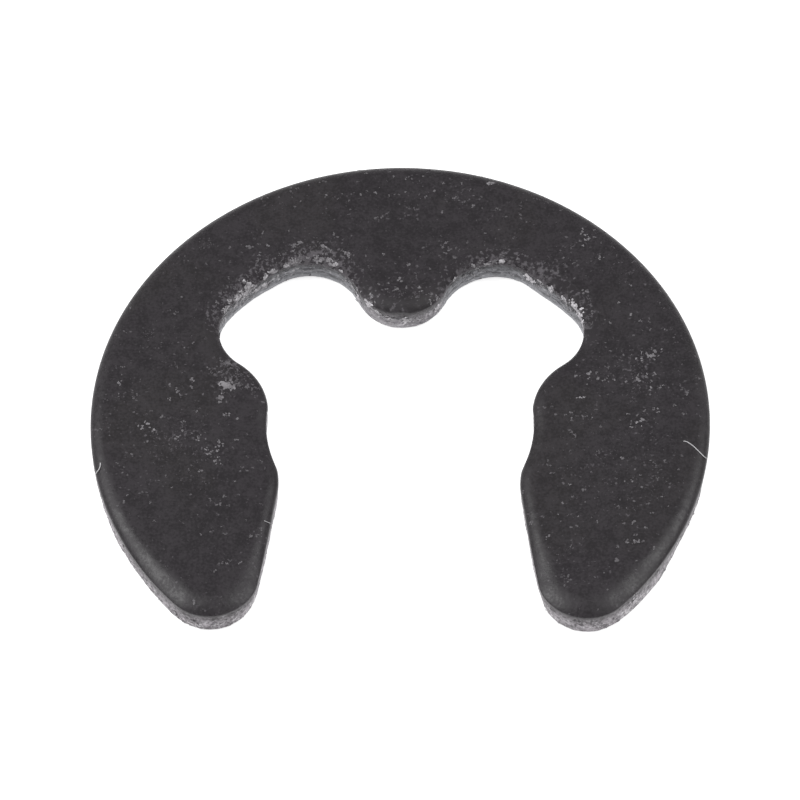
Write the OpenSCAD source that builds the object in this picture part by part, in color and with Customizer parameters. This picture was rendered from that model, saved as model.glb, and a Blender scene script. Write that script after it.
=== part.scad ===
// E-clip: a retaining ring blanked from spring steel strip. It is pushed sideways into
// the groove of a shaft, where its three lugs grip the bottom of the groove.
// The clip lies flat with its underside on Z = 0 and its rolled edge up. The origin is
// on the axis of the shaft seat, the mouth opens towards -Y and the centre lug is at +Y.
// Lengths are in millimetres and angles in degrees.

/* [Ring] */
// Outer diameter of the ring
outer_d = 11; // [10:0.1:12]
// Distance from the seat axis to the centre of the outer circle, towards the centre lug
outer_lift = 0.12; // [0:0.01:0.3]
// Width of the bow, between the pockets and the outer edge
bow_w = 1.58; // [1.2:0.01:1.8]
// Thickness of the strip
strip_t = 0.6; // [0.4:0.05:0.8]

/* [Shaft seat] */
// Diameter of the circle on which the three lugs grip the groove
seat_d = 4.75; // [4.4:0.05:5.2]
// Stock left on the lugs by the blanking die, which the finished seat circle takes off
seat_stock = 0.02; // [0.01:0.005:0.04]
// Angle above the X axis at which the two side lugs leave the seat circle
side_lug_angle = 3.5; // [0:0.5:8]
// Distance by which each lip of the mouth stands in from the seat circle
lip_reach = 0.24; // [0.1:0.02:0.4]

/* [Lugs and pockets] */
// Nose radius of the centre lug
centre_lug_r = 0.85; // [0.6:0.01:1]
// Fillet radius at the root of the centre lug
lug_root_r = 1; // [0.8:0.01:1.2]
// Radius of the pocket's outer corner
pocket_corner_r = 0.88; // [0.7:0.01:1.1]
// Radius of the shoulder between the pocket and the seat
shoulder_r = 1.28; // [1:0.02:1.5]

/* [Prongs] */
// Radius of the lips that lead the shaft into the mouth
lip_r = 1.3; // [0.8:0.02:1.6]
// Radius of the prong tips
tip_r = 0.82; // [0.6:0.01:0.9]
// Angle below the X axis at which the outer circle runs into the prong tip
tip_angle = 45.4; // [40:0.2:50]

/* [Blanked edge] */
// Width of the rounded edge that blanking draws down on the upper face
roll_w = 0.25; // [0.1:0.01:0.35]
// Depth of that rounded edge
roll_depth = 0.13; // [0.05:0.01:0.2]
// Height of the smooth sheared band below the rounded edge
shear_band_h = 0.06; // [0.03:0.01:0.12]
// Distance by which the broken part of the wall leans in towards the underside
break_lean = 0.02; // [0:0.005:0.05]
// Radius that tumbling leaves on the corner of the underside
tumble_r = 0.03; // [0.01:0.005:0.05]

/* [Hidden] */

// Largest gap between a curve and the flat facets that follow it
facet_gap = 0.002;
// Facets on the section of the rounded upper edge
roll_facets = 5;
// Facets on the section of the tumbled corner
tumble_facets = 2;
// Facets round the seat circle
seat_facets = 180;
// Distance by which the seat circle is cut past both faces
cut_past = 1;
// Colour of the phosphated spring steel
phosphated_steel = [0.22, 0.21, 0.215];

outer_r = outer_d / 2;
pocket_roof_r = outer_r - bow_w;
seat_r = seat_d / 2;
blank_seat_r = seat_r - seat_stock;
broken_wall_h = strip_t - roll_depth - shear_band_h;

function direction(angle) = [cos(angle), sin(angle)];
function bearing(v) = atan2(v.y, v.x);
function part_turn(angle) = angle - 360 * floor(angle / 360);

// Point at distance ra from a and rb from b, on the left of the way from a to b
function meeting(a, ra, b, rb) =
    let (
        span = norm(b - a),
        ahead = (b - a) / span,
        left = [-ahead.y, ahead.x],
        along = (span * span + ra * ra - rb * rb) / (2 * span)
    )
    a + along * ahead + sqrt(ra * ra - along * along) * left;

// Centres of the arcs on the right half, each tangent to its neighbours
seat_axis = [0, 0];
bow_centre = [0, outer_lift];
tip_centre = bow_centre + (outer_r - tip_r) * direction(-tip_angle);
lip_angle = acos((seat_r - lip_reach + lip_r) / (blank_seat_r + lip_r));
lip_centre = (blank_seat_r + lip_r) * direction(-lip_angle);
shoulder_centre = (blank_seat_r + shoulder_r) * direction(side_lug_angle);
corner_centre = meeting(
    bow_centre, pocket_roof_r - pocket_corner_r,
    shoulder_centre, shoulder_r + pocket_corner_r
);
lug_centre = [0, blank_seat_r + centre_lug_r];
root_centre = meeting(
    lug_centre, centre_lug_r + lug_root_r,
    bow_centre, pocket_roof_r - lug_root_r
);

// Bearings, away from the metal, at which one arc hands over to the next
flank_bearing = bearing(lip_centre - tip_centre)
    + acos((tip_r - lip_r) / norm(lip_centre - tip_centre));
lip_end = 180 - lip_angle;
side_lug_end = 180 + side_lug_angle;
shoulder_end = bearing(corner_centre - shoulder_centre);
corner_end = bearing(bow_centre - corner_centre);
roof_end = bearing(bow_centre - root_centre);
root_end = bearing(root_centre - lug_centre);

// Right half of the outline, clockwise from the top of the bow to the nose of the centre
// lug, as arcs of centre, radius, first bearing and last bearing. The radius is positive
// where the metal is inside the circle and negative where it is outside. An arc with no
// sweep is a single point: the start of the straight flank, and the nose of the lug.
half_outline = [
    [bow_centre, outer_r, 90, -tip_angle],
    [tip_centre, tip_r, -tip_angle, flank_bearing],
    [tip_centre, tip_r, flank_bearing, flank_bearing],
    [lip_centre, lip_r, flank_bearing, lip_end],
    [seat_axis, -blank_seat_r, lip_end, side_lug_end],
    [shoulder_centre, shoulder_r, side_lug_end, shoulder_end],
    [corner_centre, -pocket_corner_r, shoulder_end, corner_end],
    [bow_centre, -pocket_roof_r, corner_end, roof_end],
    [root_centre, -lug_root_r, roof_end, root_end],
    [lug_centre, centre_lug_r, root_end, -90],
    [lug_centre, centre_lug_r, -90, -90],
];

function facet_angle(radius) = 2 * acos(1 - facet_gap / abs(radius));

// Points along one arc, without its last, with the metal's edge drawn in by inset
function arc_points(arc, inset) =
    let (
        centre = arc[0],
        radius = arc[1],
        first = arc[2],
        last = arc[3],
        sweep = radius > 0 ? -part_turn(first - last) : part_turn(last - first),
        facets = max(1, ceil(abs(sweep) / facet_angle(radius)))
    )
    [for (i = [0 : facets - 1]) centre + (radius - inset) * direction(first + sweep * i / facets)];

function half_points(inset) = [for (arc = half_outline) each arc_points(arc, inset)];

// Whole outline, clockwise, from the right half and its mirror image
function outline_points(inset) =
    let (half = half_points(inset))
    concat(half, [for (i = [len(half) - 2 : -1 : 1]) [-half[i].x, half[i].y]]);

// Section of the edge from the underside up, as pairs of height and inset
edge_section = concat(
    [
        for (i = [0 : tumble_facets])
            let (turn = 90 * i / tumble_facets)
            [tumble_r * (1 - cos(turn)), break_lean + tumble_r * (1 - sin(turn))]
    ],
    [[broken_wall_h, 0]],
    [
        for (i = [0 : roll_facets])
            let (turn = 90 * i / roll_facets)
            [strip_t - roll_depth * (1 - sin(turn)), roll_w * (1 - cos(turn))]
    ]
);

// Triangles laced across half of a flat face, from its outer edge to its inner edge. The
// edges are two runs of the same points, from a upwards and from b downwards.
function laced(points, a, b) =
    b - a < 2 ? [] :
    norm(points[a + 1] - points[b]) < norm(points[a] - points[b - 1])
        ? concat([[a, a + 1, b]], laced(points, a + 1, b))
        : concat([[a, b - 1, b]], laced(points, a, b - 1));

function mirrored(triangle, count) = [for (i = [2, 1, 0]) (count - triangle[i]) % count];
function turned_over(triangle) = [triangle[2], triangle[1], triangle[0]];
function on_level(triangle, level, count) = [for (i = triangle) i + level * count];

// The blank as it leaves the die: a skin over the outline at each height of the section
module blank() {
    count = len(outline_points(0));
    top = len(edge_section) - 1;
    half_face = laced(half_points(roll_w), 0, count / 2);
    face = [for (t = half_face) each [t, mirrored(t, count)]];
    wall = [
        for (level = [0 : top - 1], i = [0 : count - 1])
            let (next = (i + 1) % count)
            [
                level * count + i,
                level * count + next,
                (level + 1) * count + next,
                (level + 1) * count + i
            ]
    ];
    polyhedron(
        points = [
            for (level = edge_section, p = outline_points(level[1])) [p.x, p.y, level[0]]
        ],
        faces = concat(
            wall,
            [for (t = face) on_level(t, top, count)],
            [for (t = face) turned_over(t)]
        ),
        convexity = 6
    );
}

// The circle that gives the three lugs their grip on the groove
module seat_circle() {
    translate([0, 0, -cut_past])
        cylinder(r = seat_r, h = strip_t + 2 * cut_past, $fn = seat_facets);
}

module clip() {
    color(phosphated_steel)
        difference() {
            blank();
            seat_circle();
        }
}

clip();
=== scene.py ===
"""Looks for the e-clip: the blanked and phosphated steel, with the dust and lint that lie on it.

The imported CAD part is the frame. Lengths are written in millimetres, as in the part's source,
and are turned into metres where a mesh is made.
"""

import math

import bpy
import numpy as np
from mathutils import Matrix, Vector


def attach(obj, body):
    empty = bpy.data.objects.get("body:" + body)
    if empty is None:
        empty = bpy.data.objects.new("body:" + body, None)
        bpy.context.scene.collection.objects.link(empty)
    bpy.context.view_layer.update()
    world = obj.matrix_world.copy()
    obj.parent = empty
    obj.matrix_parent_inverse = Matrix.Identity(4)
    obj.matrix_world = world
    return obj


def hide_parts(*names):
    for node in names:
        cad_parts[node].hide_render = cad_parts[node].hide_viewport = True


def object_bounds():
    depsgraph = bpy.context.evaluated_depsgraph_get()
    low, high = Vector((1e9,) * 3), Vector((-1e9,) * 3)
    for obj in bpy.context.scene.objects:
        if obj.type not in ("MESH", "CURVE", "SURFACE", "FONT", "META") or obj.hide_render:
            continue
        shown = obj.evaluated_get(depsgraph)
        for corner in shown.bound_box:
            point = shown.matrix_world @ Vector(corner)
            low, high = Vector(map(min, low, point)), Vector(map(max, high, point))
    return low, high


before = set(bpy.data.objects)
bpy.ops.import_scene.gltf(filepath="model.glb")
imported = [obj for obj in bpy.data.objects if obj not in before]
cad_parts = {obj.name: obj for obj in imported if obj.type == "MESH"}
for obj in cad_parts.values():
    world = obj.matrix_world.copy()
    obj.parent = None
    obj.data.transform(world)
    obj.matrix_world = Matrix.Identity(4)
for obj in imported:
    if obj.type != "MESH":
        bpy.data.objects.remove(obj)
cad_low, cad_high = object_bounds()

MM = 0.001

# ---------------------------------------------------------------- the clip's own measures

OUTER_R = 5.5
OUTER_LIFT = 0.12
BOW_W = 1.58
STRIP_T = 0.6
SEAT_R = 2.375
SEAT_STOCK = 0.02
SIDE_LUG_ANGLE = 3.5
LIP_REACH = 0.24
CENTRE_LUG_R = 0.85
LUG_ROOT_R = 1.0
POCKET_CORNER_R = 0.88
SHOULDER_R = 1.28
LIP_R = 1.3
TIP_R = 0.82
TIP_ANGLE = 45.4
ROLL_W = 0.25
ROLL_DEPTH = 0.13
SHEAR_BAND_H = 0.06
BREAK_LEAN = 0.02
TUMBLE_R = 0.03

ROLL_FOOT = STRIP_T - ROLL_DEPTH
BROKEN_WALL_H = ROLL_FOOT - SHEAR_BAND_H

# ---------------------------------------------------------------- outline


def direction(angle):
    return np.array((math.cos(math.radians(angle)), math.sin(math.radians(angle))))


def bearing(way):
    return math.degrees(math.atan2(way[1], way[0]))


def meeting(a, ra, b, rb):
    """Point at distance ra from a and rb from b, on the left of the way from a to b."""
    span = np.linalg.norm(b - a)
    ahead = (b - a) / span
    left = np.array((-ahead[1], ahead[0]))
    along = (span * span + ra * ra - rb * rb) / (2 * span)
    return a + along * ahead + math.sqrt(ra * ra - along * along) * left


def ramp(value, low, high):
    share = np.clip((value - low) / (high - low), 0, 1)
    return share * share * (3 - 2 * share)


def half_outline():
    """Arcs of the right half, clockwise from the top of the bow to the nose of the centre lug.

    Each is (centre, radius, first bearing, last bearing). The radius is negative where the metal
    is outside the circle. The flank is given by the arcs on its two sides.
    """
    roof_r = OUTER_R - BOW_W
    blank_r = SEAT_R - SEAT_STOCK
    seat = np.zeros(2)
    bow = np.array((0.0, OUTER_LIFT))
    tip = bow + (OUTER_R - TIP_R) * direction(-TIP_ANGLE)
    lip_angle = math.degrees(math.acos((SEAT_R - LIP_REACH + LIP_R) / (blank_r + LIP_R)))
    lip = (blank_r + LIP_R) * direction(-lip_angle)
    shoulder = (blank_r + SHOULDER_R) * direction(SIDE_LUG_ANGLE)
    corner = meeting(bow, roof_r - POCKET_CORNER_R, shoulder, SHOULDER_R + POCKET_CORNER_R)
    lug = np.array((0.0, blank_r + CENTRE_LUG_R))
    root = meeting(lug, CENTRE_LUG_R + LUG_ROOT_R, bow, roof_r - LUG_ROOT_R)
    lean = math.degrees(math.acos((TIP_R - LIP_R) / np.linalg.norm(lip - tip)))
    flank = bearing(lip - tip) + lean
    shoulder_end = bearing(corner - shoulder)
    corner_end = bearing(bow - corner)
    roof_end = bearing(bow - root)
    root_end = bearing(root - lug)
    return [
        (bow, OUTER_R, 90, -TIP_ANGLE),
        (tip, TIP_R, -TIP_ANGLE, flank),
        (lip, LIP_R, flank, 180 - lip_angle),
        (seat, -blank_r, 180 - lip_angle, 180 + SIDE_LUG_ANGLE),
        (shoulder, SHOULDER_R, 180 + SIDE_LUG_ANGLE, shoulder_end),
        (corner, -POCKET_CORNER_R, shoulder_end, corner_end),
        (bow, -roof_r, corner_end, roof_end),
        (root, -LUG_ROOT_R, roof_end, root_end),
        (lug, CENTRE_LUG_R, root_end, -90),
    ]


STATION_STEP = 0.035

# Where the tips end, towards -Y
LOWEST_Y = OUTER_LIFT - (OUTER_R - TIP_R) * math.sin(math.radians(TIP_ANGLE)) - TIP_R

# Places where this clip's outline stands out a little from its arcs: x, y, reach, distance
fuller_places = {
    "left flank": (-2.45, -2.70, 1.15, 0.034),
    "left tip, inner side": (-2.75, -3.45, 0.45, 0.010),
    "right flank": (2.45, -2.70, 1.15, 0.034),
    "right tip, inner side": (2.75, -3.45, 0.45, 0.010),
    "left pocket, slope": (-2.35, 3.22, 0.42, 0.024),
    "right pocket, slope": (2.50, 3.12, 0.50, 0.028),
}


def at_places(ring, places, plain):
    """A measure that is plain round the outline and changes near the named places."""
    total = np.full(len(ring), plain)
    for x, y, reach, extra in places.values():
        far = np.linalg.norm(ring - np.array((x, y)), axis=1)
        total += extra * np.exp(-((far / reach) ** 2))
    return total


def outline_stations():
    """Points round the whole outline, clockwise from the top of the bow, with the outward way."""
    points = []
    outward = []
    for centre, radius, first, last in half_outline():
        sweep = -((first - last) % 360) if radius > 0 else (last - first) % 360
        start = centre + radius * direction(first)
        if points:
            gap = np.linalg.norm(start - points[-1])
            steps = int(gap / STATION_STEP)
            before = points[-1]
            for i in range(1, steps):
                points.append(before + (start - before) * i / steps)
                outward.append(direction(first))
        steps = max(2, math.ceil(abs(radius * math.radians(sweep)) / STATION_STEP))
        for i in range(1 if points else 0, steps + 1):
            angle = first + sweep * i / steps
            points.append(centre + radius * direction(angle))
            outward.append(direction(angle))
    half = np.array(points)
    half_out = np.array(outward)
    mirror = np.array((-1.0, 1.0))
    ring = np.vstack([half, half[-2:0:-1] * mirror])
    ring_out = np.vstack([half_out, half_out[-2:0:-1] * mirror])
    fuller = at_places(ring, fuller_places, 0.0) * ramp(ring[:, 1], LOWEST_Y, LOWEST_Y + 0.5)
    ring += ring_out * fuller[:, None]
    return ring, ring_out, len(half)


def roll_drop(share, flat_share):
    """Drop of the roll below the face, as a share of its depth, and its slope.

    Share runs from 0 where the roll leaves the face to 1 at its foot. The section is a quarter
    ellipse where flat_share is 0 and a parabola where it is 1.
    """
    level = np.sqrt(np.maximum(1e-4, 1 - share * share))
    drop = (1 - flat_share) * (1 - level) + flat_share * share * share
    slope = (1 - flat_share) * share / level + flat_share * 2 * share
    return drop, slope


# Steps in which the section of the edge is drawn
TUMBLE_STEPS = 4
WALL_STEPS = 13
ROLL_STEPS = 12
BAND_SHARES = (0.15, 0.6)

# Widths of the narrow rims that hold each flat face's shading level up to its edge
UNDERSIDE_RIM = 0.03
FACE_RIM = 0.04


def edge_levels():
    """Section of the edge from the underside up: rows of height, inset, and share of broken wall."""
    rows = [(0.0, BREAK_LEAN + TUMBLE_R + UNDERSIDE_RIM, 0.0)]
    for i in range(TUMBLE_STEPS + 1):
        turn = math.radians(90 * i / TUMBLE_STEPS)
        inset = BREAK_LEAN + TUMBLE_R * (1 - math.sin(turn))
        rows.append((TUMBLE_R * (1 - math.cos(turn)), inset, i / TUMBLE_STEPS))
    for i in range(1, WALL_STEPS + 1):
        share = i / WALL_STEPS
        rows.append((TUMBLE_R + (BROKEN_WALL_H - TUMBLE_R) * share, BREAK_LEAN * (1 - share), 1.0))
    for share in BAND_SHARES:
        rows.append((BROKEN_WALL_H + SHEAR_BAND_H * share, 0.0, 0.0))
    for i in range(ROLL_STEPS + 1):
        turn = math.radians(90 * i / ROLL_STEPS)
        rows.append((STRIP_T - ROLL_DEPTH * (1 - math.sin(turn)), ROLL_W * (1 - math.cos(turn)), 0.0))
    rows.append((STRIP_T, ROLL_W + FACE_RIM, 0.0))
    return rows


def laced(ring, half_count):
    """Triangles laced across a flat face, from its outer edge to its inner edge."""
    count = len(ring)
    triangles = []
    a = 0
    b = half_count - 1
    while b - a > 1:
        if np.linalg.norm(ring[a + 1] - ring[b]) < np.linalg.norm(ring[a] - ring[b - 1]):
            triangles.append((a, a + 1, b))
            a += 1
        else:
            triangles.append((a, b - 1, b))
            b -= 1
    mirrored = [tuple((count - i) % count for i in reversed(t)) for t in triangles]
    return triangles + mirrored


# Places on the outline where blanking has drawn the roll down further: x, y, reach, extra width
wide_rolls = {
    "left tip, outer side": (-4.05, -3.45, 0.80, 0.14),
    "left tip, inner side": (-2.80, -3.40, 0.55, 0.26),
    "left tip, end": (-3.40, -3.95, 0.60, 0.10),
    "right tip, outer side": (4.10, -3.40, 0.80, 0.14),
    "right tip, inner side": (2.80, -3.35, 0.60, 0.28),
    "right tip, end": (3.40, -3.95, 0.60, 0.10),
    "left arm, outer side": (-5.00, -2.00, 1.20, 0.04),
    "right arm, outer side": (5.00, -2.00, 1.20, 0.04),
}

# Places where the break leans less, or out past the sheared band: x, y, reach, lean taken off
steep_breaks = {
    "left arm, high": (-5.38, -0.65, 0.60, 0.022),
    "left arm, low": (-5.00, -2.25, 0.25, 0.012),
    "left tip, outer side": (-3.95, -3.65, 0.30, 0.018),
    "left tip, end": (-3.15, -3.98, 0.50, 0.022),
    "left tip, inner corner": (-2.60, -3.45, 0.26, -0.018),
    "left pocket, slope": (-2.15, 3.38, 0.35, 0.014),
    "lug root, left": (-0.82, 2.98, 0.15, 0.018),
    "lug root, right": (0.85, 2.98, 0.25, 0.012),
    "right pocket, slope": (2.50, 3.12, 0.50, 0.012),
    "right flank": (2.33, -2.50, 0.50, 0.006),
    "right tip, inner corner": (2.58, -3.42, 0.26, -0.040),
    "right tip, end": (3.30, -3.99, 0.55, 0.028),
    "right tip, outer side": (4.10, -3.50, 0.42, 0.044),
    "right tip, outer side, high": (4.50, -2.95, 0.40, 0.040),
    "right pocket, root": (1.15, 3.32, 0.35, 0.018),
    "right arm, outer side": (4.98, -2.16, 0.55, -0.026),
}


def wider_roll(ring):
    return at_places(ring, wide_rolls, ROLL_W)


def flatter_roll(ring):
    """How far the roll's section is from an ellipse towards a parabola, which it nears at the tips."""
    return 0.30 + 0.60 * (1 - ramp(ring[:, 1], -3.4, -1.8))


def pocket_share(ring, on_lug):
    """One on the walls of the two pockets, on_lug round the nose of the lug, and nought elsewhere."""
    inner = np.linalg.norm(ring - np.array((0.0, OUTER_LIFT)), axis=1) < OUTER_R - BOW_W + 0.3
    lug = on_lug + (1 - on_lug) * ramp(np.abs(ring[:, 0]), 0.5, 0.95)
    return inner * ramp(ring[:, 1], 1.3, 2.1) * lug


def wave(run, seeds, reach):
    """Slow wander along the outline, made of a few waves that close on themselves."""
    rng = np.random.default_rng(seeds)
    total = np.zeros_like(run)
    for cycles in (5, 9, 14, 23, 37, 61, 97):
        total += rng.uniform(0.4, 1.0) * np.sin(2 * math.pi * (cycles * run + rng.uniform()))
    return total / np.abs(total).max() * reach


def new_mesh(name, points, faces=(), smooth=True):
    """A mesh of points given in millimetres."""
    mesh = bpy.data.meshes.new(name)
    mesh.from_pydata((np.array(points) * MM).tolist(), [], list(faces))
    mesh.update()
    mesh.polygons.foreach_set("use_smooth", np.full(len(mesh.polygons), smooth))
    return mesh


def carry(mesh, name, values):
    """Stores a number or a vector under this name for each point of the mesh."""
    kind, field = ("FLOAT", "value") if values.ndim == 1 else ("FLOAT_VECTOR", "vector")
    stored = mesh.attributes.new(name, kind, "POINT")
    stored.data.foreach_set(field, values.astype(np.float32).ravel())


def new_piece(name, mesh):
    piece = bpy.data.objects.new(name, mesh)
    bpy.context.scene.collection.objects.link(piece)
    return piece


def blank_mesh():
    """The clip as blanked: the outline swept down its edge section, with both faces laced shut."""
    ring, outward, half_count = outline_stations()
    count = len(ring)
    step = np.linalg.norm(np.roll(ring, -1, axis=0) - ring, axis=1)
    run = np.cumsum(step) / step.sum()
    break_line = wave(run, 11, 0.018)
    roll_swell = 1 + wave(run, 12, 0.06)
    roll_w = wider_roll(ring)
    flat_share = flatter_roll(ring)
    steep = -at_places(ring, steep_breaks, 0.0)
    pocket_roll = pocket_share(ring, 0.4)
    pocket_wall = pocket_share(ring, 0.3)
    rows = edge_levels()
    points = []
    broken = []
    pocket = []
    for height, inset, share in rows:
        if height >= ROLL_FOOT:
            on_roll = np.full(count, max(0.0, 1 - inset / ROLL_W))
            z = STRIP_T - ROLL_DEPTH * roll_drop(on_roll, flat_share)[0]
            inset_here = inset / ROLL_W * roll_w * roll_swell
            pocket.append(pocket_roll * (inset <= ROLL_W))
        elif height > BROKEN_WALL_H:
            z = height + break_line * (ROLL_FOOT - height) / SHEAR_BAND_H
            inset_here = np.full(count, inset)
            pocket.append(pocket_roll)
        else:
            z = height + break_line * max(0.0, height - TUMBLE_R) / (BROKEN_WALL_H - TUMBLE_R)
            inset_here = inset + steep * (1 - height / BROKEN_WALL_H)
            pocket.append(pocket_wall * min(1, height / TUMBLE_R))
        xy = ring - outward * inset_here[:, None]
        reach = np.linalg.norm(xy, axis=1)
        xy *= np.maximum(1, SEAT_R / np.maximum(reach, 1e-6))[:, None]
        points.append(np.column_stack([xy, z]))
        broken.append(np.full(count, share))
    points = np.vstack(points)
    top = (len(rows) - 1) * count
    faces = []
    for below in range(0, top, count):
        above = below + count
        for i in range(count):
            j = (i + 1) % count
            faces.append((above + i, above + j, below + j, below + i))
    lower_face = laced(points[:count, :2], half_count)
    upper_face = laced(points[top:, :2], half_count)
    turned_over = [tuple(i + top for i in reversed(t)) for t in upper_face]
    mesh = new_mesh("clip_steel", points, faces + lower_face + turned_over)
    carry(mesh, "broken", np.concatenate(broken))
    carry(mesh, "pocket", np.concatenate(pocket))
    carry(mesh, "outward", np.tile(np.column_stack([outward, np.zeros(count)]), (len(rows), 1)))
    return mesh

# ---------------------------------------------------------------- node helpers


def fill(tree, sockets, values):
    """Sets each named or numbered socket, or links it where the value is another node's output."""
    for name, value in values.items():
        if isinstance(value, bpy.types.NodeSocket):
            tree.links.new(value, sockets[name])
        else:
            sockets[name].default_value = value


def node(tree, kind, inputs=None, **settings):
    """A new node with its settings, and its inputs set or linked."""
    made = tree.nodes.new(kind)
    for name, value in settings.items():
        setattr(made, name, value)
    fill(tree, made.inputs, inputs or {})
    return made


def output(tree, kind, inputs=None, which=0, **settings):
    """The output, by its number or name, of a new node."""
    return node(tree, kind, inputs, **settings).outputs[which]


def maths(tree, operation, a, b=0.0, clamp=False):
    return output(tree, "ShaderNodeMath", {0: a, 1: b}, operation=operation, use_clamp=clamp)


def times(tree, a, b, clamp=False):
    return maths(tree, "MULTIPLY", a, b, clamp)


def plus(tree, a, b, clamp=False):
    return maths(tree, "ADD", a, b, clamp)


def vector_maths(tree, operation, a, b, which=0):
    return output(tree, "ShaderNodeVectorMath", {0: a, 1: b}, which, operation=operation)


def scaled(tree, vector, factor):
    return output(tree, "ShaderNodeVectorMath", {0: vector, "Scale": factor}, operation="SCALE")


def eased(tree, value, low, high, out_low=0.0, out_high=1.0):
    """Value taken smoothly from the range low..high to out_low..out_high."""
    inputs = {0: value, 1: low, 2: high, 3: out_low, 4: out_high}
    return output(tree, "ShaderNodeMapRange", inputs, interpolation_type="SMOOTHSTEP")


def noise(tree, where, scale, detail=2.0, roughness=0.5, which=0):
    inputs = {"Vector": where, "Scale": scale, "Detail": detail, "Roughness": roughness}
    return output(tree, "ShaderNodeTexNoise", inputs, which)


def mottle(tree, where, size, detail=2.0, roughness=0.5):
    """Noise with features of about the given size in metres."""
    return noise(tree, where, 1 / size, detail, roughness)


def blended(tree, factor, a, b):
    return output(tree, "ShaderNodeMix", {0: factor, 6: a, 7: b}, 2, data_type="RGBA")


def carried(tree, name, kind="FLOAT"):
    """What a mesh carries under this name, read in Geometry Nodes."""
    return output(tree, "GeometryNodeInputNamedAttribute", {"Name": name}, data_type=kind)


def new_group(name, tree_kind, given, results):
    """A group with named inputs and outputs, the sockets it is given and those that it fills."""
    tree = bpy.data.node_groups.new(name, tree_kind)
    for title, kind, value in given:
        socket = tree.interface.new_socket(title, in_out="INPUT", socket_type="NodeSocket" + kind)
        if value is not None:
            socket.default_value = value
    for title, kind in results:
        tree.interface.new_socket(title, in_out="OUTPUT", socket_type="NodeSocket" + kind)
    return tree, tree.nodes.new("NodeGroupInput").outputs, tree.nodes.new("NodeGroupOutput").inputs


def worked(piece, tree, values):
    """Runs a Geometry Nodes tree on a piece and keeps its result as a plain mesh."""
    modifier = piece.modifiers.new(tree.name, "NODES")
    modifier.node_group = tree
    for item in tree.interface.items_tree:
        if item.item_type == "SOCKET" and item.in_out == "INPUT" and item.name in values:
            modifier[item.identifier] = values[item.name]
    shown = piece.evaluated_get(bpy.context.evaluated_depsgraph_get())
    mesh = bpy.data.meshes.new_from_object(shown)
    mesh.name = piece.name
    piece.modifiers.remove(modifier)
    piece.data = mesh

# ---------------------------------------------------------------- materials


def tone(red, green, blue):
    """Linear colour from the 0..255 values that it shows as."""
    shown = np.array((red, green, blue)) / 255
    linear = np.where(shown <= 0.04045, shown / 12.92, ((shown + 0.055) / 1.055) ** 2.4)
    return (*linear.tolist(), 1.0)


def phosphate_grain_group():
    """Crystals of phosphate from dark to light, with stains of oil. Sizes are in metres."""
    tree, given, results = new_group(
        "phosphate_grain",
        "ShaderNodeTree",
        [
            ("Position", "Vector", None),
            ("Crystal Size", "Float", 0.00003),
            ("Patch Size", "Float", 0.0012),
            ("Dark", "Color", None),
            ("Light", "Color", None),
            ("Oil Stain", "Color", None),
            ("Stain Share", "Float", 0.3),
        ],
        [("Color", "Color"), ("Height", "Float"), ("Tone", "Float")],
    )

    def spots(size_name, share, detail):
        return noise(tree, given["Position"], maths(tree, "DIVIDE", share, given[size_name]), detail)

    crystals = times(tree, spots("Crystal Size", 1.0, 3.0), 0.52)
    crystal_clumps = times(tree, spots("Crystal Size", 0.2, 2.0), 0.34)
    patches = times(tree, spots("Patch Size", 1.0, 3.0), 0.14)
    stains = spots("Patch Size", 0.62, 2.0)
    mixed = plus(tree, plus(tree, crystals, crystal_clumps), patches)
    level = eased(tree, mixed, 0.36, 0.64)
    plain = blended(tree, level, given["Dark"], given["Light"])
    stain = times(tree, eased(tree, stains, 0.5, 0.66), given["Stain Share"])
    colour = blended(tree, stain, plain, given["Oil Stain"])
    fill(tree, results, {"Color": colour, "Height": mixed, "Tone": level})
    return tree


def dust_film_group():
    """Specks of dust too fine to be modelled as grains. They lie thicker where Density is higher."""
    tree, given, results = new_group(
        "dust_film",
        "ShaderNodeTree",
        [
            ("Position", "Vector", None),
            ("Bare", "Color", None),
            ("Dust", "Color", None),
            ("Speck Size", "Float", 0.00003),
            ("Density", "Float", 0.2),
            ("Cover", "Float", 0.5),
        ],
        [("Color", "Color"), ("Mask", "Float")],
    )
    fine_scale = maths(tree, "DIVIDE", 1.0, given["Speck Size"])
    fine = noise(tree, given["Position"], fine_scale)
    drift = noise(tree, given["Position"], times(tree, fine_scale, 0.11))
    gathered = times(tree, eased(tree, drift, 0.35, 0.7, -0.35, 0.55), 0.5)
    thick = plus(tree, given["Density"], gathered)
    lowest = maths(tree, "SUBTRACT", 0.70, times(tree, thick, 0.20))
    above = maths(tree, "SUBTRACT", fine, lowest)
    mask = times(tree, eased(tree, above, 0.0, 0.2), given["Cover"], clamp=True)
    fill(tree, results, {"Color": blended(tree, mask, given["Bare"], given["Dust"]), "Mask": mask})
    return tree


def dusty_place_group():
    """A soft place round Centre, or a soft ring of the given Radius round it."""
    tree, given, results = new_group(
        "dusty_place",
        "ShaderNodeTree",
        [
            ("Position", "Vector", None),
            ("Centre", "Vector", None),
            ("Radius", "Float", 0.0),
            ("Reach", "Float", 0.001),
            ("Amount", "Float", 0.5),
        ],
        [("Density", "Float")],
    )
    apart = vector_maths(tree, "DISTANCE", given["Position"], given["Centre"], "Value")
    off = maths(tree, "ABSOLUTE", maths(tree, "SUBTRACT", apart, given["Radius"]))
    near = eased(tree, maths(tree, "DIVIDE", off, given["Reach"]), 1.0, 0.0)
    fill(tree, results, {"Density": times(tree, near, given["Amount"])})
    return tree


grain_group = phosphate_grain_group()
film_group = dust_film_group()
place_group = dusty_place_group()


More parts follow.
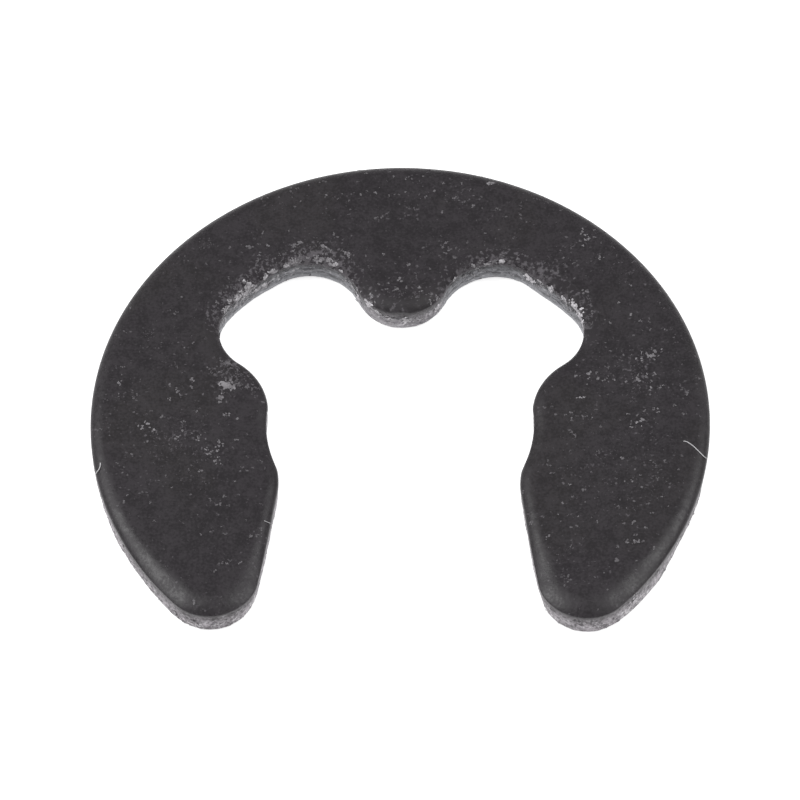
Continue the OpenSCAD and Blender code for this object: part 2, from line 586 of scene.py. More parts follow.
def new_material(name):
    """A material with its tree, its shader's sockets and the position on the object."""
    material = bpy.data.materials.new(name)
    material.use_nodes = True
    tree = material.node_tree
    where = output(tree, "ShaderNodeTexCoord", which="Object")
    return material, tree, tree.nodes["Principled BSDF"].inputs, where


def group_in(tree, group, inputs):
    return node(tree, "ShaderNodeGroup", inputs, node_tree=group).outputs


def density_at(tree, where, places, height, density):
    """The density with that of the named places added: rows of x, y, radius, reach and amount."""
    for x, y, radius, reach, amount in places.values():
        inputs = {
            "Position": where,
            "Centre": (x * MM, y * MM, height * MM),
            "Radius": radius * MM,
            "Reach": reach * MM,
            "Amount": amount,
        }
        density = plus(tree, density, group_in(tree, place_group, inputs)["Density"])
    return density


def in_pockets(tree):
    return output(tree, "ShaderNodeAttribute", which="Fac", attribute_name="pocket")


def height_of(tree, where):
    return output(tree, "ShaderNodeSeparateXYZ", {0: where}, "Z")


def bumped(tree, height, strength, distance, **under):
    inputs = {"Height": height, "Strength": strength, "Distance": distance, **under}
    return output(tree, "ShaderNodeBump", inputs)


# Where fine dust lies thicker on the face: x, y, radius (nought for a patch), reach, amount
dusty_places = {
    "left shoulder": (-3.05, 0.95, 0.0, 0.65, 0.55),
    "left arm": (-3.85, -0.45, 0.0, 0.95, 0.35),
    "left rim": (-4.75, 0.80, 0.0, 0.80, 0.25),
    "left pocket edge": (-1.90, 2.35, 1.15, 0.60, 0.45),
    "left of the lug": (-1.60, 3.70, 0.0, 0.70, 0.35),
    "lug": (0.0, 2.80, 0.0, 0.75, 0.30),
    "right pocket edge": (1.90, 2.35, 1.15, 0.55, 0.35),
    "right of the bow": (3.30, 3.60, 0.0, 0.90, 0.25),
    "right shoulder": (4.10, 1.10, 0.0, 0.90, 0.35),
    "right arm": (3.85, -0.80, 0.0, 1.20, 0.25),
    "top of the bow": (0.60, 4.90, 0.0, 1.50, 0.15),
}


def phosphated_steel():
    """Manganese phosphate and oil on the two faces, the rolled edge and the sheared band."""
    material, tree, shader, where = new_material("phosphated_steel")
    grain = group_in(
        tree,
        grain_group,
        {
            "Position": where,
            "Crystal Size": 0.045 * MM,
            "Patch Size": 1.1 * MM,
            "Dark": tone(24, 19, 24),
            "Light": tone(39, 34, 39),
            "Oil Stain": tone(42, 41, 33),
            "Stain Share": 0.10,
        },
    )
    height = height_of(tree, where)
    top_side = eased(tree, height, 0.20 * MM, 0.30 * MM)
    pocket = times(tree, in_pockets(tree), top_side)
    even = plus(tree, times(tree, pocket, 0.45), 0.25)
    film = group_in(
        tree,
        film_group,
        {
            "Position": where,
            "Bare": grain["Color"],
            "Dust": tone(112, 108, 113),
            "Speck Size": 0.075 * MM,
            "Density": density_at(tree, where, dusty_places, STRIP_T, even),
            "Cover": 0.55,
        },
    )
    # The sheared band, grey all round and greyer in the pockets
    above_wall = eased(tree, height, 0.50 * MM, 0.46 * MM)
    band = times(tree, times(tree, above_wall, top_side), 0.10)
    band = times(tree, band, plus(tree, times(tree, pocket, 5.0), 1.0))
    speckled = eased(tree, mottle(tree, where, 0.05 * MM, 3.0), 0.38, 0.62, 0.2, 1.8)
    band = times(tree, band, speckled, clamp=True)
    # Powder low on the roll of the pockets
    powder = eased(tree, mottle(tree, where, 0.15 * MM, 4.0, 0.6), 0.44, 0.62, 0.0, 0.75)
    low_roll = times(tree, pocket, eased(tree, height, 0.59 * MM, 0.49 * MM))
    powdered = maths(tree, "MAXIMUM", band, times(tree, powder, low_roll))
    rough = eased(tree, grain["Tone"], 0.0, 1.0, 0.36, 0.5)
    dents = bumped(tree, mottle(tree, where, 0.16 * MM), 1.0, 0.008 * MM)
    fill(
        tree,
        shader,
        {
            "Base Color": blended(tree, powdered, film["Color"], tone(98, 94, 98)),
            "Roughness": plus(tree, rough, times(tree, pocket, 0.35)),
            "Specular IOR Level": 0.5,
            "Normal": bumped(tree, grain["Height"], 0.5, 0.006 * MM, Normal=dents),
        },
    )
    return material


# Where the foot of the broken wall is white with dust and with painted light from the side lamps: x, y,
# radius, reach, amount
chalk_and_lamp_lit_feet = {
    "left tip, inner side": (-2.68, -3.55, 0.0, 0.55, 0.45),
    "left tip, outer side": (-4.25, -3.25, 0.0, 0.90, 0.25),
    "right tip, inner side": (2.80, -3.75, 0.0, 0.45, 0.35),
    "right tip, outer side": (4.20, -3.40, 0.0, 0.75, 0.55),
    "right tip, outer side, high": (4.75, -2.60, 0.0, 0.80, 0.35),
}
CHALK_AND_LIGHT_HEIGHT = 0.1


def broken_steel():
    """The torn wall below the sheared band: bare bright grains, phosphate and dust between them.

    The wall is painted darker under the sheared band and lighter towards its foot, as painted shade and
    painted light from the floor. In the pockets it is greyer and scored along.
    """
    material, tree, shader, where = new_material("broken_steel")
    grain = group_in(
        tree,
        grain_group,
        {
            "Position": where,
            "Crystal Size": 0.05 * MM,
            "Patch Size": 0.4 * MM,
            "Dark": tone(92, 88, 92),
            "Light": tone(196, 190, 196),
            "Oil Stain": tone(126, 119, 121),
            "Stain Share": 0.3,
        },
    )
    film = group_in(
        tree,
        film_group,
        {
            "Position": where,
            "Bare": grain["Color"],
            "Dust": tone(235, 232, 236),
            "Speck Size": 0.07 * MM,
            "Density": 0.75,
            "Cover": 0.85,
        },
    )
    height = height_of(tree, where)
    # Painted shade and light: the outer wall darkens under the sheared band and lightens towards the
    # floor
    outer_wall = scaled(tree, film["Color"], eased(tree, height, 0.37 * MM, 0.17 * MM, 0.42, 1.0))
    # The wall in the pockets: scored steel and dust, with painted light from the floor at its foot and
    # painted shade under the sheared band
    along = vector_maths(tree, "MULTIPLY", where, (1, 1, 2.8))
    scored = eased(tree, mottle(tree, along, 0.15 * MM, 4.0, 0.65), 0.38, 0.62)
    pocket_wall = blended(tree, scored, tone(80, 80, 84), tone(150, 150, 155))
    pocket_wall = blended(tree, times(tree, film["Mask"], 0.7), pocket_wall, tone(225, 222, 226))
    # Painted light: the foot of the pocket wall whitened as the floor's light would make it
    foot = eased(tree, height, 0.16 * MM, 0.02 * MM, 0.0, 0.6)
    pocket_wall = blended(tree, foot, pocket_wall, tone(205, 206, 211))
    # Painted shade: the pocket wall darker towards the sheared band
    pocket_wall = scaled(tree, pocket_wall, eased(tree, height, 0.37 * MM, 0.28 * MM, 0.42, 1.0))
    wall = blended(tree, in_pockets(tree), outer_wall, pocket_wall)
    # Dust and painted light: the lower wall whitened in patches, more towards the floor and on the tips'
    # sides that face the lamps
    low = eased(tree, height, 0.36 * MM, 0.06 * MM, 0.15, 1.0)
    patchy = eased(tree, mottle(tree, where, 0.07 * MM, 3.0), 0.42, 0.58)
    chalk_and_lamp_light = density_at(tree, where, chalk_and_lamp_lit_feet, CHALK_AND_LIGHT_HEIGHT, 0.0)
    chalk_and_painted_light = times(tree, times(tree, low, patchy), chalk_and_lamp_light, clamp=True)
    fill(
        tree,
        shader,
        {
            "Base Color": blended(tree, chalk_and_painted_light, wall, tone(238, 237, 238)),
            "Roughness": 0.55,
            "Specular IOR Level": 0.4,
            "Normal": bumped(tree, grain["Height"], 0.5, 0.007 * MM),
        },
    )
    return material


phosphated = phosphated_steel()
broken = broken_steel()

# ---------------------------------------------------------------- the clip


def torn_wall_tree():
    """Pushes the broken wall in by a grainy depth, and gives the clip its two materials."""
    tree, given, results = new_group(
        "torn_wall",
        "GeometryNodeTree",
        [
            ("Geometry", "Geometry", None),
            ("Grain Size", "Float", 0.00005),
            ("Grain Depth", "Float", 0.00001),
            ("Tear Size", "Float", 0.0003),
            ("Tear Depth", "Float", 0.00001),
            ("Plain Steel", "Material", None),
            ("Broken Steel", "Material", None),
        ],
        [("Geometry", "Geometry")],
    )
    where = output(tree, "GeometryNodeInputPosition")
    share = carried(tree, "broken")

    def depth(size_name, depth_name, detail):
        field = noise(tree, where, maths(tree, "DIVIDE", 1.0, given[size_name]), detail)
        return times(tree, eased(tree, field, 0.3, 0.7), given[depth_name])

    push = plus(tree, depth("Grain Size", "Grain Depth", 2.0), depth("Tear Size", "Tear Depth", 1.0))
    push = times(tree, times(tree, push, share), -1.0)
    move = scaled(tree, carried(tree, "outward", "FLOAT_VECTOR"), push)
    moved = output(tree, "GeometryNodeSetPosition", {"Geometry": given["Geometry"], "Offset": move})
    plain = output(tree, "GeometryNodeSetMaterial", {"Geometry": moved, "Material": given["Plain Steel"]})
    real = output(tree, "GeometryNodeRealizeInstances", {"Geometry": plain})
    torn = output(tree, "FunctionNodeCompare", {0: share, 1: 0.6}, operation="GREATER_THAN")
    inputs = {"Geometry": real, "Selection": torn, "Material": given["Broken Steel"]}
    fill(tree, results, {"Geometry": output(tree, "GeometryNodeSetMaterial", inputs)})
    return tree


clip_steel = new_piece("clip_steel", blank_mesh())
worked(
    clip_steel,
    torn_wall_tree(),
    {
        "Grain Size": 0.06 * MM,
        "Grain Depth": 0.011 * MM,
        "Tear Size": 0.3 * MM,
        "Tear Depth": 0.012 * MM,
        "Plain Steel": phosphated,
        "Broken Steel": broken,
    },
)
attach(clip_steel, "root")
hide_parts("clip")

# ---------------------------------------------------------------- dust and lint

RING, RING_OUT, _ = outline_stations()
ROLL = wider_roll(RING)
FLAT_SHARE = flatter_roll(RING)
STEEP = at_places(RING, steep_breaks, 0.0)

# Least distance of a grain on the face from the outline, and from the seat circle
GRAIN_INSET = 0.012
SEAT_CLEARANCE = 0.01

# How far the middles of grains on the wall lie behind its face
WALL_GRAIN_SINK = 0.001

# Height of the lowest grains on the wall
LOWEST_GRAIN = 0.03

# How far the middles of grains stay inside the CAD part's box, towards the tips
GRAIN_MARGIN = 0.018

# Length of the roll's curved section, as a share of the straight way from its foot to the face
ROLL_ARC_SHARE = 1.08

UPWARD = (0.0, 0.0, 1.0)


def on_roll(place, share, outward, width, flat_share):
    """The point of the roll under a place in plan, and the normal there."""
    drop, slope = roll_drop(share, flat_share)
    lean = np.array((*(outward * slope * ROLL_DEPTH / width), 1.0))
    return (*place, STRIP_T - ROLL_DEPTH * drop), tuple(lean / np.linalg.norm(lean))


def settled(xy):
    """Where grains at these plan positions come to rest: points on the upper skin and its normals.

    Grains that are off the metal are left out. Returns the points, the normals and which were kept.
    """
    lying = []
    kept = []
    for i, place in enumerate(xy):
        away = place - RING
        near = int(np.argmin((away**2).sum(axis=1)))
        inset = -float(away[near] @ RING_OUT[near])
        if inset < GRAIN_INSET or np.linalg.norm(place) < SEAT_R + SEAT_CLEARANCE:
            continue
        width = ROLL[near]
        if inset >= width:
            lying.append(((*place, STRIP_T), UPWARD))
        else:
            lying.append(on_roll(place, 1 - inset / width, RING_OUT[near], width, FLAT_SHARE[near]))
        kept.append(i)
    points, normals = zip(*lying)
    return np.array(points), np.array(normals), np.array(kept, int)


def on_edge(stations, across):
    """Points on the edge at these stations of the outline, and the normals there.

    Across is measured over the section from the foot of the roll, up over the roll and on to the
    face, or down the sheared band and the broken wall where it is negative.
    """
    lying = []
    for station, s in zip(stations, across):
        i = math.floor(station) % len(RING)
        j = (i + 1) % len(RING)
        t = station - math.floor(station)
        foot = RING[i] * (1 - t) + RING[j] * t
        out = RING_OUT[i] * (1 - t) + RING_OUT[j] * t
        width = ROLL[i]
        roll_run = math.hypot(width, ROLL_DEPTH) * ROLL_ARC_SHARE
        if s < 0:
            height = max(LOWEST_GRAIN, ROLL_FOOT + s)
            below = max(0.0, 1 - height / BROKEN_WALL_H)
            inset = WALL_GRAIN_SINK + (BREAK_LEAN - STEEP[i]) * below
            lying.append(((*(foot - out * inset), height), (*out, 0.0)))
        elif s < roll_run:
            share = math.cos(math.pi / 2 * s / roll_run)
            place = foot - out * width * (1 - share)
            lying.append(on_roll(place, share, out, width, FLAT_SHARE[i]))
        else:
            place = foot - out * (width + s - roll_run)
            lying.append(((*place, STRIP_T), UPWARD))
    points, normals = zip(*lying)
    return np.array(points), np.array(normals)


GRAIN_ROUGHNESS_SIZE = 0.02 * MM
NARROW_SEED_STEP = 7.0


def grain_tree():
    """One flat, few-sided grain on each point, turned about the normal of what it lies on."""
    tree, given, results = new_group(
        "grains_of_dust",
        "GeometryNodeTree",
        [
            ("Geometry", "Geometry", None),
            ("Flatness", "Float", 0.3),
            ("Narrowest", "Float", 0.6),
            ("Raggedness", "Float", 0.000012),
            ("Seed", "Int", 1),
            ("Material", "Material", None),
        ],
        [("Geometry", "Geometry")],
    )

    def drawn(low, high, seed):
        return output(tree, "FunctionNodeRandomValue", {2: low, 3: high, "Seed": seed}, 1)

    flake = output(tree, "GeometryNodeMeshIcoSphere", {"Radius": 0.5, "Subdivisions": 1})
    spin = output(tree, "ShaderNodeCombineXYZ", {"Z": drawn(0.0, math.tau, given["Seed"])})
    spun = output(tree, "FunctionNodeEulerToRotation", {0: spin})
    turned = {"Rotation": spun, "Vector": carried(tree, "lie", "FLOAT_VECTOR")}
    laid = output(tree, "FunctionNodeAlignRotationToVector", turned, axis="Z")
    narrow = drawn(given["Narrowest"], 1.0, plus(tree, given["Seed"], NARROW_SEED_STEP))
    shape = output(tree, "ShaderNodeCombineXYZ", {"X": 1.0, "Y": narrow, "Z": given["Flatness"]})
    on_points = {
        "Points": given["Geometry"],
        "Instance": flake,
        "Rotation": laid,
        "Scale": scaled(tree, shape, carried(tree, "size")),
    }
    flakes = output(tree, "GeometryNodeInstanceOnPoints", on_points)
    real = output(tree, "GeometryNodeRealizeInstances", {"Geometry": flakes})
    where = output(tree, "GeometryNodeInputPosition")
    rough = noise(tree, where, 1 / GRAIN_ROUGHNESS_SIZE, 1.0, which=1)
    centred = vector_maths(tree, "SUBTRACT", rough, (0.5, 0.5, 0.5))
    level = vector_maths(tree, "MULTIPLY", centred, (1, 1, 0))
    shift = scaled(tree, level, given["Raggedness"])
    ragged = output(tree, "GeometryNodeSetPosition", {"Geometry": real, "Offset": shift})
    inputs = {"Geometry": ragged, "Material": given["Material"]}
    fill(tree, results, {"Geometry": output(tree, "GeometryNodeSetMaterial", inputs)})
    return tree


def dust_material():
    material, tree, shader, where = new_material("settled_dust")
    shade = output(tree, "ShaderNodeAttribute", which="Fac", attribute_name="shade")
    speckle = eased(tree, mottle(tree, where, 0.008 * MM, 1.0), 0.3, 0.7, 0.8, 1.1)
    colour = blended(tree, times(tree, shade, speckle), tone(58, 54, 58), tone(236, 233, 237))
    fill(tree, shader, {"Base Color": colour, "Roughness": 0.8, "Specular IOR Level": 0.3})
    return material


# Each trail: start, end, spread to the sides, number of grains, middling grain size, lightness
trails = {
    "left shoulder smear": ((-3.20, 0.74), (-2.97, 0.66), 0.020, 30, 0.050, 0.66),
    "left shoulder smear, upper points": ((-3.12, 0.84), (-2.98, 0.76), 0.030, 6, 0.036, 0.56),
    "left shoulder smear, tail": ((-2.92, 0.73), (-2.58, 0.70), 0.045, 26, 0.028, 0.42),
    "left shoulder haze": ((-3.24, 1.10), (-2.95, 0.88), 0.090, 52, 0.024, 0.38),
    "left shoulder haze, top": ((-3.14, 1.22), (-3.08, 1.18), 0.035, 9, 0.036, 0.44),
    "left shoulder haze, inner end": ((-2.95, 0.95), (-2.62, 0.80), 0.070, 30, 0.022, 0.38),
    "under the left smear": ((-3.19, 0.60), (-3.20, 0.37), 0.018, 9, 0.044, 0.60),
    "under the left smear, foot": ((-3.10, 0.09), (-2.98, 0.04), 0.012, 5, 0.032, 0.50),
    "left arm, slanting dash": ((-4.79, 0.63), (-4.71, 0.38), 0.010, 8, 0.028, 0.42),
    "right arm, crossing dash": ((3.12, 0.49), (3.30, 0.49), 0.005, 9, 0.027, 0.84),
    "right arm, slanting dash": ((4.17, -0.05), (4.31, 0.04), 0.006, 6, 0.034, 0.60),
    "right arm, bright dash": ((4.34, 1.38), (4.58, 1.40), 0.012, 9, 0.044, 0.62),
    "right arm arc": ((2.93, -0.14), (3.11, -0.33), 0.010, 8, 0.026, 0.44),
    "above the left pocket": ((-2.06, 3.70), (-1.82, 3.90), 0.030, 14, 0.038, 0.54),
    "above the left pocket, middle": ((-1.49, 3.80), (-1.30, 3.69), 0.010, 10, 0.036, 0.58),
    "above the left pocket, inner": ((-1.05, 3.64), (-0.96, 3.55), 0.020, 8, 0.042, 0.60),
    "above the left pocket, faint streak": ((-2.58, 3.62), (-2.63, 3.33), 0.015, 9, 0.034, 0.40),
    "left rim haze": ((-4.60, 1.85), (-4.48, 1.78), 0.080, 22, 0.014, 0.34),
    "left pocket corner": ((-3.07, 2.62), (-2.63, 2.88), 0.060, 32, 0.034, 0.50),
    "left pocket roof": ((-2.08, 3.35), (-1.81, 3.46), 0.050, 18, 0.038, 0.50),
    "left pocket roof, inner": ((-1.63, 3.46), (-1.34, 3.51), 0.045, 16, 0.036, 0.50),
    "left of the bow": ((-3.66, 3.81), (-3.43, 3.79), 0.070, 24, 0.016, 0.34),
    "bow, right clump": ((1.55, 5.20), (1.66, 5.21), 0.025, 8, 0.036, 0.66),
    "bow, curved streak": ((0.63, 3.76), (0.83, 3.87), 0.012, 5, 0.030, 0.50),
    "bow rim haze": ((1.77, 5.22), (2.80, 4.70), 0.060, 33, 0.016, 0.34),
    "left side of the lug": ((-0.62, 2.60), (-0.50, 2.44), 0.050, 14, 0.030, 0.50),
    "nose of the lug": ((-0.30, 2.72), (0.35, 2.74), 0.080, 28, 0.020, 0.34),
    "right side of the lug": ((0.50, 2.74), (0.62, 2.62), 0.040, 10, 0.027, 0.50),
    "right pocket streak": ((1.46, 3.37), (1.60, 3.42), 0.014, 7, 0.038, 0.72),
    "right pocket roof": ((1.10, 3.20), (2.10, 3.42), 0.080, 36, 0.030, 0.50),
    "right pocket blob": ((2.28, 3.08), (2.38, 3.06), 0.030, 9, 0.040, 0.66),
    "right pocket, outer streak": ((2.60, 2.90), (2.76, 2.74), 0.020, 9, 0.032, 0.62),
    "right pocket, outer scuffs": ((3.30, 2.30), (3.42, 2.08), 0.030, 14, 0.022, 0.38),
    "right pocket corner": ((3.08, 2.50), (3.21, 2.32), 0.020, 7, 0.030, 0.50),
    "right of the bow": ((3.34, 3.86), (3.24, 4.08), 0.040, 8, 0.034, 0.62),
    "right rim, high": ((3.56, 3.55), (3.68, 3.55), 0.030, 5, 0.034, 0.50),
    "right lip": ((2.30, -2.18), (2.35, -2.08), 0.020, 5, 0.027, 0.50),
    "right prong row": ((3.99, -2.57), (4.22, -2.53), 0.012, 6, 0.032, 0.50),
    "bow strays": ((-1.10, 5.05), (1.50, 4.90), 0.120, 9, 0.034, 0.48),
    "bow strays, outer": ((-3.20, 3.75), (-2.40, 3.75), 0.050, 3, 0.048, 0.50),
    "lug strays": ((-0.40, 2.92), (0.30, 2.78), 0.090, 11, 0.042, 0.46),
    "lug root strays": ((-0.55, 3.55), (0.80, 3.60), 0.140, 5, 0.050, 0.48),
    "left pocket strays": ((-2.60, 3.10), (-1.10, 3.30), 0.060, 6, 0.060, 0.48),
    "right pocket strays": ((1.35, 3.40), (2.00, 3.60), 0.100, 6, 0.056, 0.48),
    "right of the bow, strays": ((3.04, 3.04), (4.90, 1.95), 0.120, 5, 0.052, 0.54),
    "left rim strays": ((-5.02, 0.95), (-5.02, 0.45), 0.050, 7, 0.036, 0.54),
    "left shoulder strays": ((-4.35, 0.40), (-3.70, 0.75), 0.120, 9, 0.042, 0.46),
    "left arm row": ((-4.65, -0.08), (-4.40, -0.22), 0.050, 8, 0.044, 0.60),
    "left arm, slanting row": ((-4.05, -0.30), (-3.20, -0.52), 0.090, 14, 0.036, 0.54),
    "left arm, lower clump": ((-3.40, -0.62), (-3.20, -1.00), 0.060, 14, 0.036, 0.58),
    "left prong strays": ((-4.60, -1.20), (-2.80, -2.10), 0.400, 14, 0.036, 0.48),
    "right shoulder row": ((3.75, 1.53), (4.62, 1.40), 0.090, 14, 0.040, 0.58),
    "right shoulder clump": ((4.35, 0.98), (4.66, 0.66), 0.090, 12, 0.042, 0.54),
    "right shoulder strays": ((3.10, 0.92), (3.85, 0.88), 0.090, 14, 0.038, 0.52),
    "right arm strays": ((2.80, 0.12), (3.60, 0.02), 0.050, 9, 0.036, 0.50),
    "right arm, outer strays": ((4.05, 0.20), (4.85, 0.25), 0.060, 10, 0.038, 0.54),
    "right arm, bright strays": ((3.46, -0.14), (4.84, -0.10), 0.020, 3, 0.040, 0.68),
    "right prong strays": ((2.80, -0.90), (4.80, -1.50), 0.350, 20, 0.034, 0.50),
    "right prong strays, lower": ((2.90, -2.00), (4.40, -2.80), 0.350, 14, 0.036, 0.50),
    "left arm haze": ((-4.30, -0.20), (-3.30, -0.70), 0.350, 132, 0.014, 0.34),
    "right arm haze": ((3.40, -0.60), (4.40, -1.20), 0.450, 143, 0.014, 0.34),
    "right shoulder haze": ((3.90, 1.30), (4.40, 0.70), 0.350, 110, 0.014, 0.34),
    "bow haze": ((-2.20, 3.70), (-1.00, 3.65), 0.200, 88, 0.014, 0.34),
    "bow haze, right": ((1.00, 3.60), (2.40, 3.30), 0.200, 88, 0.014, 0.34),
}


# Dust caught on the edge. Each drift: outline start and end, middle and spread across the
# section, number of grains, middling grain size, lightness
edge_drifts = {
    "left pocket, corner wall": ((-3.24, 2.26), (-3.00, 2.65), -0.10, 0.070, 40, 0.030, 0.85),
    "left pocket, corner clump": ((-3.02, 2.63), (-2.66, 3.00), 0.01, 0.070, 75, 0.038, 0.80),
    "left pocket, corner wisps": ((-2.95, 2.70), (-2.60, 3.05), 0.22, 0.080, 45, 0.020, 0.50),
    "left pocket, roof smear": ((-2.15, 3.38), (-1.83, 3.49), 0.05, 0.040, 40, 0.036, 0.70),
    "left pocket, roof arc": ((-1.83, 3.49), (-1.18, 3.35), 0.12, 0.030, 45, 0.029, 0.70),
    "left pocket, lower arc": ((-2.40, 3.22), (-1.10, 3.28), -0.03, 0.020, 40, 0.020, 0.70),
    "left pocket, lug side": ((-1.05, 3.24), (-0.75, 2.83), -0.18, 0.120, 44, 0.030, 0.90),
    "left pocket, haze": ((-3.24, 2.26), (-0.85, 3.05), 0.10, 0.130, 465, 0.020, 0.42),
    "left pocket, burr": ((-3.27, 2.17), (-3.26, 2.12), -0.38, 0.020, 4, 0.058, 0.50),
    "lug, left side": ((-0.68, 2.70), (-0.45, 2.47), 0.12, 0.100, 20, 0.029, 0.70),
    "lug, nose": ((-0.50, 2.48), (0.50, 2.48), -0.24, 0.080, 90, 0.030, 1.00),
    "lug, right side, upper": ((0.50, 2.52), (0.68, 2.69), 0.13, 0.050, 11, 0.029, 0.70),
    "right pocket, roof cluster": ((1.22, 3.37), (1.70, 3.50), 0.04, 0.070, 35, 0.033, 0.70),
    "right pocket, corner strip": ((3.20, 2.32), (3.27, 2.02), 0.03, 0.040, 35, 0.026, 0.80),
    "right pocket, haze": ((0.88, 3.05), (3.25, 2.20), 0.02, 0.120, 420, 0.020, 0.42),
    "left pocket, roof wall": ((-2.30, 3.29), (-1.10, 3.28), -0.24, 0.080, 50, 0.024, 0.72),
    "left pocket, slope wall": ((-3.00, 2.65), (-2.30, 3.29), -0.24, 0.080, 46, 0.028, 0.80),
    "right pocket, roof wall": ((1.00, 3.20), (2.20, 3.36), -0.22, 0.090, 50, 0.024, 0.70),
    "right pocket, slope wall": ((2.20, 3.36), (3.10, 2.52), -0.20, 0.090, 70, 0.028, 0.80),
    "left tip wall": ((-4.20, -3.35), (-2.75, -3.55), -0.33, 0.090, 102, 0.030, 1.00),
    "left tip, white patch": ((-3.45, -3.97), (-3.10, -3.98), -0.34, 0.050, 28, 0.045, 1.15),
    "right tip wall": ((4.50, -2.95), (2.75, -3.45), -0.33, 0.090, 114, 0.030, 1.00),
    "right tip, white patch": ((3.95, -3.65), (4.15, -3.45), -0.20, 0.060, 24, 0.045, 1.15),
    "left arm wall": ((-5.30, -1.40), (-4.20, -3.35), -0.30, 0.100, 90, 0.027, 1.00),
    "right arm wall": ((5.30, -1.40), (4.50, -2.95), -0.30, 0.100, 90, 0.027, 1.00),
}


# Thick spots of dust on the edge: outline place, middle across the section, reach, number of
# grains, middling grain size, lightness
edge_spots = {
    "left pocket, first": ((-2.48, 3.15), 0.03, 0.020, 7, 0.050, 0.95),
    "left pocket, second": ((-2.35, 3.26), 0.05, 0.014, 5, 0.044, 0.92),
    "left pocket, third": ((-2.26, 3.32), 0.04, 0.018, 5, 0.036, 0.70),
    "left pocket, fourth": ((-2.08, 3.42), 0.04, 0.018, 5, 0.044, 0.92),
    "left pocket, soft patch": ((-1.91, 3.47), 0.07, 0.070, 26, 0.040, 0.64),
    "left pocket, low patch": ((-2.51, 3.13), -0.19, 0.050, 18, 0.044, 1.15),
    "left pocket, low spot": ((-2.64, 3.02), -0.21, 0.025, 8, 0.046, 1.05),
    "left pocket, wide patch": ((-2.76, 2.92), 0.08, 0.060, 22, 0.046, 0.90),
    "left pocket, wide patch, low": ((-2.80, 2.86), -0.10, 0.070, 24, 0.044, 1.05),
    "left pocket, corner spot": ((-2.95, 2.70), 0.03, 0.040, 16, 0.048, 0.98),
    "left pocket, corner wall": ((-3.00, 2.64), -0.15, 0.020, 5, 0.040, 1.10),
    "left pocket, corner edge": ((-3.06, 2.56), 0.09, 0.025, 6, 0.038, 0.75),
    "left pocket, corner end": ((-3.15, 2.45), 0.03, 0.030, 8, 0.042, 0.92),
    "left arc, first": ((-1.50, 3.47), 0.14, 0.040, 10, 0.034, 0.72),
    "left arc, second": ((-1.34, 3.42), 0.14, 0.030, 8, 0.036, 0.78),
    "left arc, third": ((-1.24, 3.38), 0.12, 0.014, 5, 0.044, 0.95),
    "left arc, fourth": ((-1.10, 3.28), 0.04, 0.016, 6, 0.040, 0.90),
    "lug, upper left": ((-0.90, 3.09), -0.17, 0.030, 8, 0.036, 1.10),
    "lug, left foot": ((-0.80, 2.91), -0.24, 0.045, 14, 0.036, 1.20),
    "lug, left": ((-0.59, 2.59), -0.03, 0.045, 22, 0.046, 1.15),
    "lug, left of the nose": ((-0.43, 2.47), -0.12, 0.025, 8, 0.040, 1.10),
    "lug, nose": ((0.06, 2.36), -0.20, 0.045, 14, 0.040, 1.20),
    "lug, nose, left": ((-0.20, 2.38), -0.20, 0.030, 8, 0.036, 1.10),
    "lug, right": ((0.66, 2.68), -0.22, 0.050, 24, 0.046, 1.15),
    "lug, upper right": ((0.95, 3.14), 0.00, 0.018, 7, 0.044, 1.00),
    "right pocket, first": ((1.12, 3.30), -0.12, 0.016, 4, 0.036, 0.80),
    "right pocket, second": ((1.40, 3.44), -0.14, 0.016, 4, 0.034, 0.80),
    "right pocket, third": ((1.54, 3.48), 0.00, 0.020, 7, 0.046, 0.98),
    "right pocket, great spot": ((1.81, 3.48), 0.08, 0.018, 9, 0.054, 1.05),
    "right pocket, great patch": ((2.32, 3.28), -0.14, 0.040, 26, 0.052, 1.20),
    "right pocket, small spot": ((2.51, 3.13), -0.02, 0.018, 8, 0.046, 1.05),
    "right pocket, slope": ((2.69, 2.97), -0.05, 0.035, 16, 0.046, 1.10),
    "right pocket, slope, lower": ((2.93, 2.72), -0.02, 0.035, 16, 0.046, 1.05),
    "right pocket, corner": ((3.09, 2.54), 0.07, 0.035, 18, 0.044, 1.15),
    "right pocket, corner, lower": ((3.18, 2.38), 0.02, 0.045, 22, 0.044, 1.10),
    "right pocket, corner wall": ((3.25, 2.22), -0.05, 0.060, 22, 0.038, 1.10),
}


# Fine dust over the whole face: clumps alone, and huddles of clumps with how far they scatter
SINGLE_CLUMPS = 1500
HUDDLES = 290
HUDDLE_CLUMPS = 4
HUDDLE_SCATTER = 0.07

# Sizes of the fine dust's grains: the middling one, how widely they spread, and their limits
FINE_SIZE = 0.0265
FINE_SPREAD = 0.40
FINE_LIMITS = (0.012, 0.058)

# The same for the grains of drifts and trails, and the largest that hangs on the edge
DRIFT_SPREAD = 0.3
LARGEST_ON_EDGE = 0.06

CLUMP_OF_FALL = 3
CLUMP_OF_DRIFT = 4


def clumps(rng, heads, head_size, head_light, each):
    """Each clump is a few grains that overlap round its head, all about as light."""
    count = len(heads)
    step = rng.normal(0, 0.34, (count, each, 2)) * head_size[:, None, None]
    step[:, 0] = 0
    xy = (heads[:, None] + step).reshape(-1, 2)
    size = (head_size[:, None] * rng.uniform(0.55, 1.0, (count, each))).ravel()
    light = np.repeat(head_light * rng.uniform(0.8, 1.15, count), each)
    return xy, size, light


def laid_down(xy, size, light):
    """Rests the clumps on the upper skin, without the grains that miss the metal."""
    points, normals, kept = settled(xy)
    return points, normals, size[kept], light[kept]


